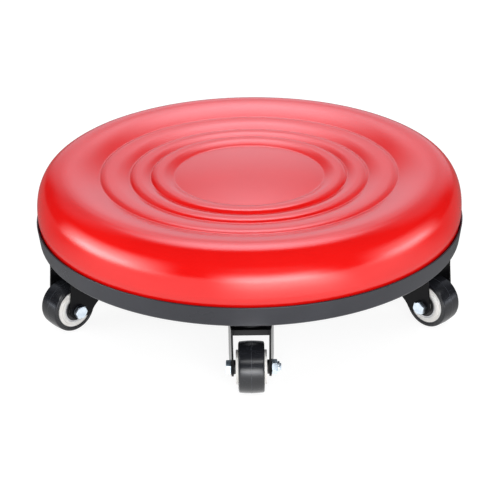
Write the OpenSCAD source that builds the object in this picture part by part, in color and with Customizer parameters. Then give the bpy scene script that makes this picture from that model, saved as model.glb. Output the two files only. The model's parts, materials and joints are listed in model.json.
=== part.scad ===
// Low creeper seat: a moulded round cushion in a pressed steel tray on five swivel casters.
// Millimetres. +Z is up, the floor is Z = 0, and the tray's axis is the Z axis.
// The front caster stands on the -Y side.

/* [Tray] */
// Outer radius of the tray at the foot of its wall
tray_r = 175; // [175:0.5:190]
// How much further out the wall stands at its top than at its foot
tray_flare = 1.8; // [0.8:0.1:4]
// Height of the tray over its outside
tray_h = 17; // [13:0.5:20]
// Outer radius of the bend between the floor and the wall
tray_bend_r = 2.4; // [2.2:0.1:2.8]
// Thickness of the tray's steel sheet
tray_t = 1.2; // [0.8:0.1:1.6]

/* [Cushion] */
// How far the side swells out from the tray floor up to its widest place
side_swell = 3.3; // [2.6:0.1:3.9]
// Height of the cushion over the tray floor, at the crest of its outer roll
cushion_h = 57; // [50:1:70]
// Height of the widest place over the tray floor
cushion_waist_h = 22.8; // [20:0.2:26]
// Radius of the crest of the outer roll
crest_r = 150; // [146:1:152]
// Squareness of the outer roll, where 2 is an ellipse
roll_power_share = 2.45; // [2:0.05:3]
// Thickness of the moulded skin
skin_t = 1.5; // [1:0.1:1.8]
// Radius of the outer crease, where the big roll ends
crease_c_r = 122.8; // [118:0.1:128]
// Height of the outer crease over the tray floor
crease_c_h = 50.3; // [47:0.1:52]
// Radius of the middle crease
crease_b_r = 98.4; // [94:0.1:102]
// Height of the middle crease over the tray floor
crease_b_h = 48; // [46:0.1:50]
// Radius of the inner crease
crease_a_r = 81; // [77:0.1:85]
// Height of the inner crease over the tray floor
crease_a_h = 47.8; // [46:0.1:50]
// Radius of the centre disc
disc_r = 62.2; // [58:0.1:66]
// Height of the centre disc's edge over the tray floor
disc_edge_h = 47.1; // [45:0.1:49]
// Rise of the centre disc from its edge to its middle
disc_rise = 2.6; // [1.5:0.1:4]
// Bulge of the inner roll over the line between its creases
bead_bulge = 2.8; // [2:0.1:4]
// Bulge of the middle roll over the line between its creases
middle_bulge = 2.2; // [1:0.1:3]
// Bulge of the outer flat roll over the line between its creases
flat_bulge = 2.2; // [1:0.1:4]

/* [Seat board] */
// Thickness of the plywood board under the foam
board_t = 9; // [8.6:0.1:12]
// Width of foam and skin left round the board's edge
board_margin = 3; // [2.8:0.1:3.4]

/* [Wheels] */
// Radius of each wheel over its tread
wheel_r = 20.2; // [19.2:0.1:26]
// Width of the tyre
tyre_w = 19.6; // [19:0.1:20.6]
// Crown of the tread, from its middle to its shoulders
tread_crown = 0.5; // [0.2:0.1:0.8]
// Radius of the tyre's rounded shoulders
shoulder_r = 1.7; // [1:0.1:2]
// Depth of the step ring in the tyre's side
side_step = 0.5; // [0.3:0.1:0.8]
// Outer radius of the hub, where the tyre sits
hub_r = 15.6; // [15.2:0.1:16.2]
// Radius of the raised ring on the hub's sides
hub_ring_r = 13.2; // [12.8:0.1:14]
// Width of the hub over its raised rings
hub_w = 23.6; // [22.8:0.1:24]

/* [Wheel bearings] */
// Outer radius of a wheel bearing
bearing_r = 11; // [10.6:0.1:11.4]
// Width of a wheel bearing
bearing_w = 7; // [6:0.1:7.4]
// How far a bearing lies inside the hub's raised ring
bearing_inset = 0.5; // [0.2:0.1:0.8]
// Wall of the bearing's outer ring
bearing_wall = 1.4; // [1.1:0.1:1.6]
// Radius of the inner ball track
inner_track_r = 6; // [5.6:0.1:6.2]
// Number of balls in a wheel bearing
bearing_balls = 7; // [5:1:8]

/* [Casters] */
// Number of casters round the tray
caster_count = 5; // [5:1:5]
// Radius of the circle that the swivel axes stand on
caster_ring_r = 144; // [116:1:144]
// How far each wheel trails its swivel axis
trail = 17; // [15:0.5:20]
// Thickness of the fork's steel sheet
fork_t = 1.5; // [1.2:0.1:1.8]
// Outer width of the fork at its skirt
fork_w = 30.6; // [30:0.1:32]
// Angle by which each leg turns in towards the front
toe = 6; // [4:0.5:7]
// Distance from the swivel axis to the fork's skirt
skirt_s = 20.5; // [19:0.5:23]
// Gap between the tyre and the skirt's lower edge
skirt_gap = 9.8; // [6:0.2:12]
// Height of the skirt up to the top of the crown
skirt_h = 4.6; // [4.4:0.1:7]
// Radius of the fork's rounded front corners
fork_corner_r = 2.4; // [2:0.1:3]
// How far the legs reach in front of the axle
leg_toe_reach = 7.8; // [7:0.1:8.2]
// How far the legs reach below the axle
leg_drop = 6.7; // [6.5:0.1:8]

/* [Swivel race] */
// Height between the crown and the top plate
race_h = 5.2; // [5:0.1:8]
// Radius of the circle of race balls
race_r = 12; // [11.6:0.1:12.6]
// Diameter of a race ball
race_ball_d = 4; // [3.4:0.1:4.2]
// Number of race balls
race_balls = 12; // [8:1:14]
// Outer radius of the cup on the top plate
cup_r = 20.4; // [20:0.1:20.6]
// Wall of the cup
cup_t = 1.2; // [1:0.1:1.6]
// Radius of the kingpin
kingpin_r = 4; // [3.5:0.1:5]
// Radius of the kingpin's lower head
kingpin_head_r = 7; // [6.6:0.1:8]
// Thickness of the kingpin's lower head
kingpin_head_t = 2.4; // [2:0.1:3]

/* [Top plates] */
// Side of a caster's top plate along the tray's radius
plate_w = 43; // [42.6:0.2:44]
// Side of the top plate across the tray's radius
plate_l = 49; // [48.6:0.2:52]
// Thickness of the top plate
plate_t = 2; // [1.5:0.1:3]
// Radius of the plate's corners
plate_corner_r = 4; // [2:0.5:5]
// Distance between a plate's screws along the tray's radius
screw_pitch = 33; // [32.8:0.1:33.2]
// Distance between a plate's screws across the tray's radius
screw_spread = 39; // [38.6:0.1:39.4]

/* [Fasteners] */
// Radius of the axle bolt's shank
axle_r = 3; // [2.6:0.1:3]
// Size across flats of the axle bolt's head and nut
axle_flats = 10; // [9:0.5:10]
// Height of the axle bolt's head
axle_head_h = 4; // [3:0.1:5]
// Height of the hexagon of the axle nut
axle_nut_h = 4.4; // [4:0.1:6]
// Height of the nut's round collar
nut_collar_h = 1.6; // [1:0.1:2]
// Length of thread that shows past the nut
axle_tip = 1.2; // [0.6:0.1:3]
// Outer radius of the spacers beside the hub
spacer_r = 5.5; // [5:0.1:5.8]
// Radius of the plate screws' shank
screw_r = 2.5; // [2:0.1:2.6]
// Size across flats of the plate screws
screw_flats = 8; // [7:0.5:8]
// Height of the plate screws' heads
screw_head_h = 1.8; // [1.6:0.1:3]
// Radius of the tee nuts' flanges
tee_flange_r = 6.4; // [6:0.1:6.5]
// Thickness of the tee nuts' flanges
tee_flange_t = 1.2; // [0.8:0.1:1.5]
// Wall of the tee nuts' barrels
tee_wall = 0.8; // [0.6:0.1:1]

/* [Clearances] */
// Radial running clearance of a pin or a shaft
run_clear = 0.06; // [0.03:0.01:0.1]
// Radial clearance of a bolt or a screw in a drilled hole
bolt_clear = 0.3; // [0.1:0.05:0.4]
// Gap between pieces that turn against each other
turn_gap = 0.3; // [0.2:0.05:0.4]
// Gap round a race ball
ball_clear = 0.25; // [0.15:0.05:0.3]
// Gap between the cup's edge and the crown
cup_gap = 0.4; // [0.3:0.1:1]

/* [Hidden] */
$fn = 96;

// Casters are numbered clockwise seen from above, from the front one
FRONT = 0;
LEFT = 1;
REAR_LEFT = 2;
REAR_RIGHT = 3;
RIGHT = 4;
front_azimuth = 270;
caster_step = 360 / caster_count;
// Heading of each wheel from its swivel axis, in the pose of the photograph
headings = [270, 221.1, 150, 32, 316.3];
// Side of the fork that carries the bolt's head, along the fork's own Y
head_sides = [-1, 1, -1, 1, -1];

// Overrun of every cut
over = board_t / 10;

// Heights from the floor up
skirt_z = 2 * wheel_r + skirt_gap;
crown_z = skirt_z + skirt_h;
plate_z = crown_z + race_h;
tray_z = plate_z + plate_t;
floor_z = tray_z + tray_t;
board_top_z = floor_z + board_t;

// Fork
crown_r = skirt_s * sin(toe) + fork_w / 2 * cos(toe);
leg_front_s = trail + leg_toe_reach;
pad_r = axle_flats / cos(30) / 2 + bolt_clear;
pad_lift = fork_t / 10;

// Across the wheel, from its middle plane outwards
hub_half = hub_w / 2;
spacer_in = hub_half + turn_gap;
seat_out = leg_w(trail + pad_r / 2, 0) + pad_lift;
seat_in = leg_w(trail + pad_r / 2, fork_t) - pad_lift;
bearing_out = hub_half - bearing_inset;
bearing_in = bearing_out - bearing_w;

// Ball sizes
race_ball_r = race_ball_d / 2;
race_ball_z = crown_z + race_h / 2;
race_land_share = 0.6;
race_lip_share = 0.35;
race_land = race_ball_r * race_land_share;
race_lip = race_ball_r * race_lip_share;
track_out = bearing_r - bearing_wall;
bearing_ball_r = (track_out - inner_track_r) / 2 - turn_gap;
bearing_ball_ring_r = (track_out + inner_track_r) / 2;

// Inside the tray: the cushion's foot stays clear of the bend, and the board fills the foot
foot_r = tray_r - tray_bend_r - turn_gap;
cushion_r = foot_r + side_swell;
board_r = foot_r - board_margin;

// Points along an arc round c with radius r, from angle a0 to a1 in n steps
function arc(c, r, a0, a1, n) = [
    for (i = [0:n]) let (a = a0 + (a1 - a0) * i / n) c + r * [cos(a), sin(a)]];

// Half width of the fork at distance s in front of the swivel axis, that far inside its outer face
function leg_w(s, inset) = (crown_r - inset - s * sin(toe)) / cos(toe);

// Middle of a rounded front corner of the crown
corner_c = [skirt_s + fork_t - fork_corner_r, leg_w(skirt_s + fork_t - fork_corner_r, fork_corner_r)];

// Where a straight side of the fork meets the rounded corner, on the +Y side
function side_end(inset) = corner_c + (fork_corner_r - inset) * [sin(toe), cos(toe)];

// Plan of the crown: the round back, straight sides that toe in, and rounded front corners
function crown_plan(inset) = concat(
    arc(corner_c, fork_corner_r - inset, 0, 90 - toe, 6),
    arc([0, 0], crown_r - inset, 90 - toe, 270 + toe, 30),
    arc([corner_c[0], -corner_c[1]], fork_corner_r - inset, 270 + toe, 360, 6));

// Plan of the legs: the same round back and sides, carried on past the skirt as far as the front
function leg_plan(inset, front) =
    let (w = leg_w(front, inset), end = side_end(inset))
    concat(
        [[front, w], end],
        arc([0, 0], crown_r - inset, 90 - toe, 270 + toe, 30),
        [[end[0], -end[1]], [front, -w]]);

// Side view of a leg: straight front, round toe and heel, and a hollow sweep up to the back.
// The shares set the heel against the trail and the drop, and the turns end its arcs.
sweep_steps = 8;
heel_s_share = 0.53;
heel_lift_share = 0.18;
heel_r_share = 0.67;
sweep_r_share = 2.66;
under_turn = -96;
heel_turn = -154;
sweep_turn = 75;
function leg_side() =
    let (toe_c = [leg_front_s - leg_drop, wheel_r])
    let (heel_c = [trail * heel_s_share, wheel_r - leg_drop * heel_lift_share])
    let (heel_r = leg_drop * heel_r_share)
    let (sweep_r = leg_drop * sweep_r_share)
    let (sweep_c = heel_c + (heel_r + sweep_r) * [cos(heel_turn), sin(heel_turn)])
    let (sweep = arc(sweep_c, sweep_r, heel_turn + 180, sweep_turn, sweep_steps))
    concat(
        [[skirt_s + fork_t, crown_z], [skirt_s + fork_t, skirt_z]],
        arc(toe_c, leg_drop, 0, under_turn, 10),
        arc(heel_c, heel_r, under_turn, heel_turn, 6),
        [for (i = [1:sweep_steps]) sweep[i]],
        [[sweep[sweep_steps][0], crown_z]]);

// Height of a roll at a share t of its width: an even rise, then a fall that steepens outwards
roll_top_share = 0.52;
roll_rise_share = 1.8;
roll_fall_share = 3.1;
function roll_shape(t) = t < roll_top_share
    ? 1 - pow(1 - t / roll_top_share, roll_rise_share)
    : 1 - pow((t - roll_top_share) / (1 - roll_top_share), roll_fall_share);

// A roll of the cushion between two creases
function roll(p, q, bulge, n) = [
    for (i = [1:n]) let (t = i / n) p + (q - p) * t + [0, bulge * roll_shape(t)]];

// Outer quarter of the big roll, from the crest out and down to the waist
function big_roll(inset, n) = [
    for (i = [0:n]) let (a = 90 - 90 * i / n)
    [crest_r + (cushion_r - inset - crest_r) * pow(cos(a), 2 / roll_power_share),
     cushion_waist_h + (cushion_h - inset - cushion_waist_h) * pow(sin(a), 2 / roll_power_share)]];

// Inner side of the big roll, from the outer crease up to the crest
crest_ease_share = 1.7;
function crest_side(inset, n) = [
    for (i = [1:n - 1]) let (t = i / n)
    [crease_c_r + (crest_r - crease_c_r) * t,
     crease_c_h - inset + (cushion_h - crease_c_h) * (1 - pow(1 - t, crest_ease_share))]];

// Side of the cushion from the waist down to the tray floor
tuck_share = 1.3;
function tucked_side(inset, low, n) = [
    for (i = [1:n]) let (t = i / n)
    [cushion_r - inset - side_swell * pow(t, tuck_share), cushion_waist_h + (low - cushion_waist_h) * t]];

// Top of the centre disc, from its middle out to its edge
function disc_top(inset, n) = [
    for (i = [0:n]) let (t = i / n) [disc_r * t, disc_edge_h - inset + disc_rise * (1 - t * t)]];

// Half section of the cushion above the tray floor, that far inside its skin
function cushion_outline(inset, low) = concat(
    disc_top(inset, 8),
    roll([disc_r, disc_edge_h - inset], [crease_a_r, crease_a_h - inset], bead_bulge, 10),
    roll([crease_a_r, crease_a_h - inset], [crease_b_r, crease_b_h - inset], middle_bulge, 10),
    roll([crease_b_r, crease_b_h - inset], [crease_c_r, crease_c_h - inset], flat_bulge, 12),
    crest_side(inset, 8),
    big_roll(inset, 18),
    tucked_side(inset, low, 6),
    [[0, low]]);

// Puts its children in the frame of a caster: +X the way the wheel trails, origin on the floor
module at_caster(i) {
    rotate(front_azimuth - caster_step * i) translate([caster_ring_r, 0, 0])
        rotate(headings[i] - front_azimuth + caster_step * i) children();
}

// Puts its children under the tray beside a caster, square to the tray's radius
module at_plate(i) {
    rotate(front_azimuth - caster_step * i) translate([caster_ring_r, 0, 0]) children();
}

// Puts its children on a wheel's axle, with their Z axis along it
module on_axle(i) {
    at_caster(i) translate([trail, 0, wheel_r]) rotate([-90, 0, 0]) children();
}

// Turns a bolt or a nut end for end where the head is on the other side of the fork
module turned_to(i) {
    mirror([0, 0, (1 - head_sides[i]) / 2]) children();
}

// The four screw places of a plate
module at_screws() {
    for (x = [-1, 1], y = [-1, 1])
        translate([x * screw_pitch / 2, y * screw_spread / 2, 0]) children();
}

// All screw places of all plates
module at_all_screws() {
    for (i = [0:caster_count - 1]) at_plate(i) at_screws() children();
}

// A hexagon bar with a chamfered top, standing on Z = 0
face_share = 0.97;
module hexagon(flats, h) {
    corner = flats / cos(30) / 2;
    intersection() {
        cylinder(h = h, r = corner, $fn = 6);
        rotate_extrude() polygon([
            [0, 0], [corner, 0], [corner, h - (corner - flats / 2)], [flats / 2 * face_share, h], [0, h]]);
    }
}

module seat_skin() {
    color("#ee1b16") translate([0, 0, floor_z]) difference() {
        rotate_extrude() polygon(cushion_outline(0, 0));
        rotate_extrude() polygon(cushion_outline(skin_t, skin_t));
        translate([0, 0, -over]) cylinder(h = skin_t + 2 * over, r = board_r + turn_gap);
    }
}

module seat_foam() {
    color("#e8dcae") translate([0, 0, floor_z]) difference() {
        rotate_extrude() polygon(cushion_outline(skin_t, skin_t));
        translate([0, 0, -over]) cylinder(h = board_t + over, r = board_r + turn_gap);
    }
}

module seat_board() {
    color("#c39a62") difference() {
        translate([0, 0, floor_z]) cylinder(h = board_t, r = board_r);
        at_all_screws() {
            translate([0, 0, floor_z - over]) cylinder(h = board_t + 2 * over, r = tee_r() + bolt_clear);
            translate([0, 0, board_top_z - tee_flange_t])
                cylinder(h = tee_flange_t + over, r = tee_flange_r + bolt_clear);
        }
    }
}

// Outer radius of a tee nut's barrel
function tee_r() = screw_r + run_clear + tee_wall;

module tee_nuts() {
    color("#c8ccd2") at_all_screws() difference() {
        union() {
            translate([0, 0, floor_z]) cylinder(h = board_t, r = tee_r());
            translate([0, 0, board_top_z - tee_flange_t]) cylinder(h = tee_flange_t, r = tee_flange_r);
        }
        translate([0, 0, floor_z - over]) cylinder(h = board_t + 2 * over, r = screw_r + run_clear);
    }
}

module plate_screws() {
    color("#b9bfc8") at_all_screws() {
        translate([0, 0, plate_z]) rotate([180, 0, 0]) hexagon(screw_flats, screw_head_h);
        translate([0, 0, plate_z]) cylinder(h = board_top_z - tee_flange_t - plate_z, r = screw_r);
    }
}

// Half section of the pressed tray: floor, bend and flared wall with a rounded edge
module tray_section() {
    bend_in = tray_bend_r - tray_t;
    lean = atan(tray_flare / (tray_h - tray_bend_r));
    bend = [tray_r - tray_bend_r, tray_z + tray_bend_r];
    edge = [tray_r + tray_flare - tray_t / 2, tray_z + tray_h - tray_t / 2];
    polygon(concat(
        [[0, tray_z]],
        arc(bend, tray_bend_r, -90, -lean, 8),
        arc(edge, tray_t / 2, -lean, 180 - lean, 8),
        arc(bend, bend_in, -lean, -90, 8),
        [[0, tray_z + tray_t]]));
}

module seat_tray() {
    color("#3a3b3f") difference() {
        rotate_extrude($fn = 180) tray_section();
        at_all_screws() translate([0, 0, tray_z - over])
            cylinder(h = tray_t + 2 * over, r = screw_r + bolt_clear);
    }
}

// Outline of a top plate with round corners
module plate_outline() {
    c = plate_w / 2 - plate_corner_r;
    d = plate_l / 2 - plate_corner_r;
    polygon(concat(
        arc([c, d], plate_corner_r, 0, 90, 8), arc([-c, d], plate_corner_r, 90, 180, 8),
        arc([-c, -d], plate_corner_r, 180, 270, 8), arc([c, -d], plate_corner_r, 270, 360, 8)));
}

// Ring that the race balls run against, as a half section between two heights
module race_ring(z0, z1) {
    rotate_extrude() difference() {
        translate([race_r - race_ball_r - race_lip, z0])
            square([2 * (race_ball_r + race_lip), z1 - z0]);
        translate([race_r, race_ball_z]) circle(r = race_ball_r + ball_clear, $fn = 48);
    }
}

module plate() {
    color("#1b1c1e") difference() {
        union() {
            translate([0, 0, plate_z]) linear_extrude(plate_t) plate_outline();
            rotate_extrude() polygon(concat(
                [[cup_r - cup_t, plate_z + plate_t / 2], [cup_r - cup_t, crown_z + cup_gap]],
                arc([cup_r - cup_t, crown_z + cup_gap + cup_t], cup_t, -90, 0, 6),
                [[cup_r, plate_z + plate_t / 2]]));
            race_ring(race_ball_z + race_land / 2, plate_z + plate_t / 2);
        }
        translate([0, 0, plate_z - race_h]) cylinder(h = race_h + plate_t + over, r = kingpin_r + run_clear);
        at_screws() translate([0, 0, plate_z - over])
            cylinder(h = plate_t + 2 * over, r = screw_r + bolt_clear);
    }
}

module kingpins() {
    head_top = crown_z - fork_t - turn_gap;
    shoulder_z = race_ball_z - race_land / 2 + turn_gap;
    color("#9a9ea5") for (i = [0:caster_count - 1]) at_plate(i) rotate_extrude() polygon([
        [0, head_top - kingpin_head_t],
        [kingpin_head_r - kingpin_head_t / 2, head_top - kingpin_head_t],
        [kingpin_head_r, head_top - kingpin_head_t / 2],
        [kingpin_head_r, head_top],
        [kingpin_r, head_top],
        [kingpin_r, shoulder_z],
        [kingpin_head_r, shoulder_z],
        [kingpin_head_r, plate_z],
        [kingpin_r, plate_z],
        [kingpin_r, tray_z],
        [0, tray_z]]);
}

// Both legs and the skirtless sides, cut from a tube of the fork's plan by the leg's side view
module fork_legs() {
    intersection() {
        linear_extrude(crown_z) difference() {
            polygon(leg_plan(0, leg_front_s + over));
            polygon(leg_plan(fork_t, leg_front_s + 3 * over));
        }
        rotate([90, 0, 0]) translate([0, 0, -2 * crown_r]) linear_extrude(4 * crown_r) polygon(leg_side());
    }
}

// The crown: a drawn cap with a round back and a flat skirt in front
module fork_crown() {
    difference() {
        translate([0, 0, skirt_z]) linear_extrude(skirt_h) polygon(crown_plan(0));
        translate([0, 0, skirt_z - over]) linear_extrude(skirt_h - fork_t + over)
            polygon(crown_plan(fork_t));
    }
}

module fork() {
    color("#17181a") difference() {
        union() {
            fork_crown();
            fork_legs();
            race_ring(crown_z - fork_t / 2, race_ball_z - race_land / 2);
            translate([0, 0, crown_z - fork_t])
                cylinder(h = race_ball_z - race_land / 2 - crown_z + fork_t, r = kingpin_head_r);
            for (side = [-1, 1]) translate([trail, side * seat_out, wheel_r]) rotate([side * 90, 0, 0])
                cylinder(h = fork_t + 3 * pad_lift, r = pad_r);
        }
        translate([trail, 0, wheel_r]) rotate([90, 0, 0]) {
            cylinder(h = 2 * seat_in, r = pad_r + over, center = true);
            cylinder(h = 4 * seat_out, r = axle_r + bolt_clear, center = true);
        }
        for (side = [-1, 1]) translate([trail, side * seat_out, wheel_r]) rotate([-side * 90, 0, 0])
            cylinder(h = crown_r, r = pad_r);
        cylinder(h = 2 * crown_z, r = kingpin_r + run_clear);
    }
}

module race_ball_set() {
    color("#c9ced6") for (i = [0:race_balls - 1]) rotate(360 / race_balls * i)
        translate([race_r, 0, race_ball_z]) sphere(r = race_ball_r, $fn = 32);
}

module axle_bolt() {
    color("#c4d2dc") {
        translate([0, 0, seat_out]) hexagon(axle_flats, axle_head_h);
        translate([0, 0, -seat_out - axle_nut_h - nut_collar_h - axle_tip])
            cylinder(h = 2 * seat_out + axle_nut_h + nut_collar_h + axle_tip + over, r = axle_r);
    }
}

nut_collar_share = 0.84;
module axle_nut() {
    color("#c4d2dc") translate([0, 0, -seat_out]) rotate([180, 0, 0]) difference() {
        union() {
            hexagon(axle_flats, axle_nut_h);
            translate([0, 0, axle_nut_h - over])
                cylinder(h = nut_collar_h + over, r = axle_flats / 2 * nut_collar_share);
        }
        translate([0, 0, -over])
            cylinder(h = axle_nut_h + nut_collar_h + 2 * over, r = axle_r + run_clear);
    }
}

module spacers() {
    color("#26272a") for (side = [0, 1]) mirror([0, 0, side]) difference() {
        translate([0, 0, spacer_in]) cylinder(h = seat_in - spacer_in, r = spacer_r);
        cylinder(h = 2 * seat_in, r = axle_r + bolt_clear);
    }
}

// Sleeve that the bolt clamps between the spacers, with the two inner ball tracks on it
module sleeve() {
    sleeve_r = (inner_track_r + axle_r) / 2;
    color("#aab0b8") difference() {
        union() {
            cylinder(h = 2 * spacer_in, r = sleeve_r, center = true);
            for (side = [0, 1]) mirror([0, 0, side]) translate([0, 0, bearing_in])
                cylinder(h = bearing_w, r = inner_track_r);
        }
        cylinder(h = 4 * spacer_in, r = axle_r + bolt_clear, center = true);
    }
}

module hub() {
    edge = tyre_w / 2;
    ring_edge_r = (hub_half - edge) / 4;
    color("#e9e7df") difference() {
        rotate_extrude() polygon(concat(
            [[0, hub_half], [0, -hub_half]],
            arc([hub_ring_r - ring_edge_r, -hub_half + ring_edge_r], ring_edge_r, -90, 0, 4),
            [[hub_ring_r, -edge], [hub_r, -edge], [hub_r, edge], [hub_ring_r, edge]],
            arc([hub_ring_r - ring_edge_r, hub_half - ring_edge_r], ring_edge_r, 0, 90, 4)));
        cylinder(h = 2 * hub_w, r = inner_track_r + turn_gap, center = true);
        for (side = [0, 1]) mirror([0, 0, side]) translate([0, 0, bearing_in])
            cylinder(h = hub_w, r = bearing_r);
    }
}

// Half of the tyre's section, from its inner edge round the shoulder to the middle of the tread
function tyre_half() =
    let (edge = tyre_w / 2)
    let (tread_r = wheel_r - tread_crown)
    let (step_r = (hub_r + tread_r - shoulder_r) / 2)
    concat(
        [[hub_r, edge - side_step], [step_r, edge - side_step], [step_r + side_step, edge]],
        arc([tread_r - shoulder_r, edge - shoulder_r], shoulder_r, 90, 20, 5),
        [for (i = [1:5]) let (t = i / 6)
            [tread_r + tread_crown * (1 - (1 - t) * (1 - t)), (edge - shoulder_r) * (1 - t)]],
        [[wheel_r, 0]]);

module tyre() {
    half = tyre_half();
    n = len(half);
    color("#1c1c1f") rotate_extrude() polygon(concat(
        half, [for (i = [n - 2:-1:0]) [half[i][0], -half[i][1]]]));
}

// Two shielded ball bearings: outer rings with their shields, and the balls
module bearings() {
    shield_t = bearing_wall / 2;
    mid = (bearing_in + bearing_out) / 2;
    color("#8d9299") for (side = [0, 1]) mirror([0, 0, side]) {
        rotate_extrude() polygon([
            [track_out, bearing_in], [bearing_r, bearing_in], [bearing_r, bearing_out],
            [track_out, bearing_out], [track_out, bearing_out - shield_t / 2],
            [inner_track_r + turn_gap, bearing_out - shield_t / 2],
            [inner_track_r + turn_gap, bearing_out - shield_t * 1.5],
            [track_out, bearing_out - shield_t * 1.5]]);
        for (i = [0:bearing_balls - 1]) rotate(360 / bearing_balls * i)
            translate([bearing_ball_ring_r, 0, mid]) sphere(r = bearing_ball_r, $fn = 32);
    }
}

seat_skin();
seat_foam();
seat_board();
tee_nuts();
seat_tray();
plate_screws();
kingpins();
at_plate(FRONT) plate();  // front_plate
at_plate(LEFT) plate();  // left_plate
at_plate(RIGHT) plate();  // right_plate
at_plate(REAR_LEFT) plate();  // rear_left_plate
at_plate(REAR_RIGHT) plate();  // rear_right_plate
at_caster(FRONT) fork();  // front_fork
at_caster(FRONT) race_ball_set();  // front_race_balls
on_axle(FRONT) turned_to(FRONT) axle_bolt();  // front_axle_bolt
on_axle(FRONT) turned_to(FRONT) axle_nut();  // front_axle_nut
on_axle(FRONT) spacers();  // front_spacers
on_axle(FRONT) sleeve();  // front_sleeve
on_axle(FRONT) hub();  // front_hub
on_axle(FRONT) tyre();  // front_tyre
on_axle(FRONT) bearings();  // front_bearings
at_caster(LEFT) fork();  // left_fork
at_caster(LEFT) race_ball_set();  // left_race_balls
on_axle(LEFT) turned_to(LEFT) axle_bolt();  // left_axle_bolt
on_axle(LEFT) turned_to(LEFT) axle_nut();  // left_axle_nut
on_axle(LEFT) spacers();  // left_spacers
on_axle(LEFT) sleeve();  // left_sleeve
on_axle(LEFT) hub();  // left_hub
on_axle(LEFT) tyre();  // left_tyre
on_axle(LEFT) bearings();  // left_bearings
at_caster(RIGHT) fork();  // right_fork
at_caster(RIGHT) race_ball_set();  // right_race_balls
on_axle(RIGHT) turned_to(RIGHT) axle_bolt();  // right_axle_bolt
on_axle(RIGHT) turned_to(RIGHT) axle_nut();  // right_axle_nut
on_axle(RIGHT) spacers();  // right_spacers
on_axle(RIGHT) sleeve();  // right_sleeve
on_axle(RIGHT) hub();  // right_hub
on_axle(RIGHT) tyre();  // right_tyre
on_axle(RIGHT) bearings();  // right_bearings
at_caster(REAR_LEFT) fork();  // rear_left_fork
at_caster(REAR_LEFT) race_ball_set();  // rear_left_race_balls
on_axle(REAR_LEFT) turned_to(REAR_LEFT) axle_bolt();  // rear_left_axle_bolt
on_axle(REAR_LEFT) turned_to(REAR_LEFT) axle_nut();  // rear_left_axle_nut
on_axle(REAR_LEFT) spacers();  // rear_left_spacers
on_axle(REAR_LEFT) sleeve();  // rear_left_sleeve
on_axle(REAR_LEFT) hub();  // rear_left_hub
on_axle(REAR_LEFT) tyre();  // rear_left_tyre
on_axle(REAR_LEFT) bearings();  // rear_left_bearings
at_caster(REAR_RIGHT) fork();  // rear_right_fork
at_caster(REAR_RIGHT) race_ball_set();  // rear_right_race_balls
on_axle(REAR_RIGHT) turned_to(REAR_RIGHT) axle_bolt();  // rear_right_axle_bolt
on_axle(REAR_RIGHT) turned_to(REAR_RIGHT) axle_nut();  // rear_right_axle_nut
on_axle(REAR_RIGHT) spacers();  // rear_right_spacers
on_axle(REAR_RIGHT) sleeve();  // rear_right_sleeve
on_axle(REAR_RIGHT) hub();  // rear_right_hub
on_axle(REAR_RIGHT) tyre();  // rear_right_tyre
on_axle(REAR_RIGHT) bearings();  // rear_right_bearings
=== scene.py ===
# %% [markdown]
# # A low creeper seat
# A mechanic sits on this seat to work close to the floor. A round moulded cushion lies in a
# pressed steel tray, and five swivel casters under the tray let it roll anywhere.
# The CAD model gives every solid its place. This lesson dresses it: soft and turned parts get
# finer meshes, pressed parts keep their CAD mesh, and everything gets a finish made of nodes.

# %% Load the CAD model as a fixed frame
import json
import math

import bmesh
import bpy
from mathutils import Matrix, Quaternion, Vector, noise


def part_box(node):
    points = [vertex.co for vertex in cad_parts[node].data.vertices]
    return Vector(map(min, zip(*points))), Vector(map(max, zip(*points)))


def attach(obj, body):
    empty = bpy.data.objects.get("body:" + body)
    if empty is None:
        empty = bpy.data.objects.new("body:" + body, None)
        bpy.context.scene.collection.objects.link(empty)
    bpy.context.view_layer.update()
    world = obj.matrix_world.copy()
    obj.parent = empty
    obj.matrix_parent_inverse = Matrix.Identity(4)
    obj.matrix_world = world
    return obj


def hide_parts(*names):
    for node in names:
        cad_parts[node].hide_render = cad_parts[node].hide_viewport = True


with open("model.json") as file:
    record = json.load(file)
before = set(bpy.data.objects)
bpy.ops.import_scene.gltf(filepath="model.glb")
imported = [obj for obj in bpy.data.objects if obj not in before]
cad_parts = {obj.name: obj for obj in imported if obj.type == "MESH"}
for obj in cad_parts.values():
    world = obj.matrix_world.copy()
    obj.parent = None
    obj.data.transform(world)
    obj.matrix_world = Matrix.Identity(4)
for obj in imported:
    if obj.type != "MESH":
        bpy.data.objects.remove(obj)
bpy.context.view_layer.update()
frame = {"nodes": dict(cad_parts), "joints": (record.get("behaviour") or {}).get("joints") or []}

MM = 0.001
scene = bpy.context.scene
scene.view_settings.view_transform = "Standard"

# %% [markdown]
# ## The camera
# A catalogue photograph like this one is taken from far away with a long lens, so that circles
# stay even ellipses. The ellipses of the tray and the places of the three front wheels fix the
# height and the distance of the camera. It could stand level, but the wheels on the right sit
# a little higher in the picture than those on the left, so it is turned by under a degree.

# %% Camera
CAMERA_BACK = 1.2145
CAMERA_HEIGHT = 0.6302
AIM_HEIGHT = 0.0409
LENS_MM = 114.87
CAMERA_ROLL = math.radians(-0.72)

camera = bpy.data.objects.new("camera", bpy.data.cameras.new("camera"))
scene.collection.objects.link(camera)
scene.camera = camera
camera.data.lens = LENS_MM
camera.location = (0, -CAMERA_BACK, CAMERA_HEIGHT)
look = Vector((0, 0, AIM_HEIGHT)) - camera.location
camera.rotation_mode = "QUATERNION"
camera.rotation_quaternion = (look.to_track_quat("-Z", "Y")
                              @ Quaternion((0, 0, 1), CAMERA_ROLL))
print("camera looks down by", round(math.degrees(math.asin(-look.normalized().z)), 2), "degrees")

# %% [markdown]
# ## Wires for shader maths
# A shader is a graph of nodes. Building one by hand takes a line for each node and each link.
# A small class that wraps a socket lets the same graph be written as a sum or a product, and
# one method makes any other node: its settings go in first, then the values of its sockets.

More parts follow.
